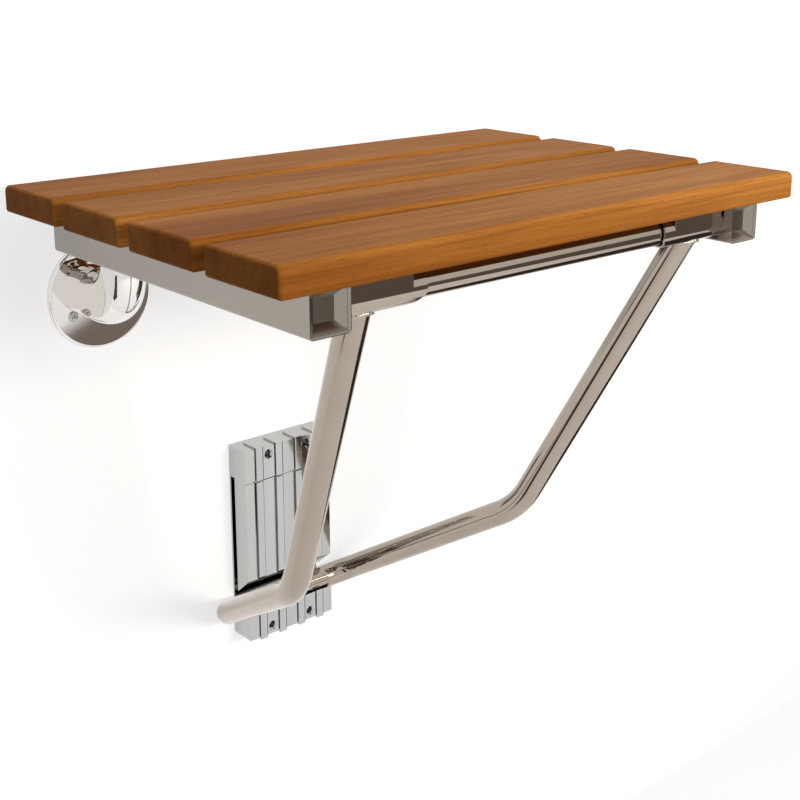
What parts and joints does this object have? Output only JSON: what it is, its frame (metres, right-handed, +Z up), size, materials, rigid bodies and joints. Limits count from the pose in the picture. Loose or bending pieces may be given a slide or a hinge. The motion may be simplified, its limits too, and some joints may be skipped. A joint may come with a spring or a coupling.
{
  "type": "fold down wall seat",
  "caption": "Fold-down wall seat of oiled teak slats on square chrome rails, with round wall flanges and a bent tube leg frame that stands in a ribbed wall plate.",
  "frame": {"origin": "centre of the ribbed wall plate's back face, on the wall", "axes": "+X along the seat to its right-hand end, +Y into the wall, +Z up"},
  "size_m": [0.508, 0.375, 0.457],
  "materials": {
    "teak": "satin",
    "rail_chrome": "satin",
    "cap_chrome": "satin",
    "steel": "satin",
    "nylon": "matte",
    "mirror_chrome": "polished",
    "tube_chrome": "polished"
  },
  "bodies": {
    "wall_side": {"wall_plate": "mirror_chrome", "left_wall_flange": "mirror_chrome", "right_wall_flange": "mirror_chrome", "left_hinge_horn": "mirror_chrome", "right_hinge_horn": "mirror_chrome", "left_horn_bolt": "steel", "right_horn_bolt": "steel", "left_hinge_bush": "nylon", "right_hinge_bush": "nylon", "left_hinge_washer": "nylon", "right_hinge_washer": "nylon"},
    "seat": {"slat_1": "teak", "slat_2": "teak", "slat_3": "teak", "slat_4": "teak", "left_rail": "rail_chrome", "right_rail": "rail_chrome", "left_front_plug": "cap_chrome", "right_front_plug": "cap_chrome", "left_slat_screws": "steel", "right_slat_screws": "steel", "left_hinge_block": "steel", "right_hinge_block": "steel", "left_hinge_pin": "steel", "right_hinge_pin": "steel", "cross_rod": "tube_chrome"},
    "leg_frame": {"leg_tube": "tube_chrome", "left_turning_sleeve": "tube_chrome", "right_turning_sleeve": "tube_chrome", "left_sleeve_liners": "nylon", "right_sleeve_liners": "nylon"}
  },
  "joints": [
    {"name": "seat_fold", "type": "hinge", "parent": "wall_side", "child": "seat", "pos_m": [0, -0.052, 0.324], "axis": [-1, 0, 0], "range_deg": [0, 90]},
    {"name": "leg_fold", "type": "hinge", "parent": "seat", "child": "leg_frame", "pos_m": [0, -0.34, 0.324], "axis": [-1, 0, 0], "range_deg": [-51.3, 0]}
  ],
  "couplings": [
    {"joint": "leg_fold", "follows": "seat_fold", "ratio": -0.57}
  ]
}
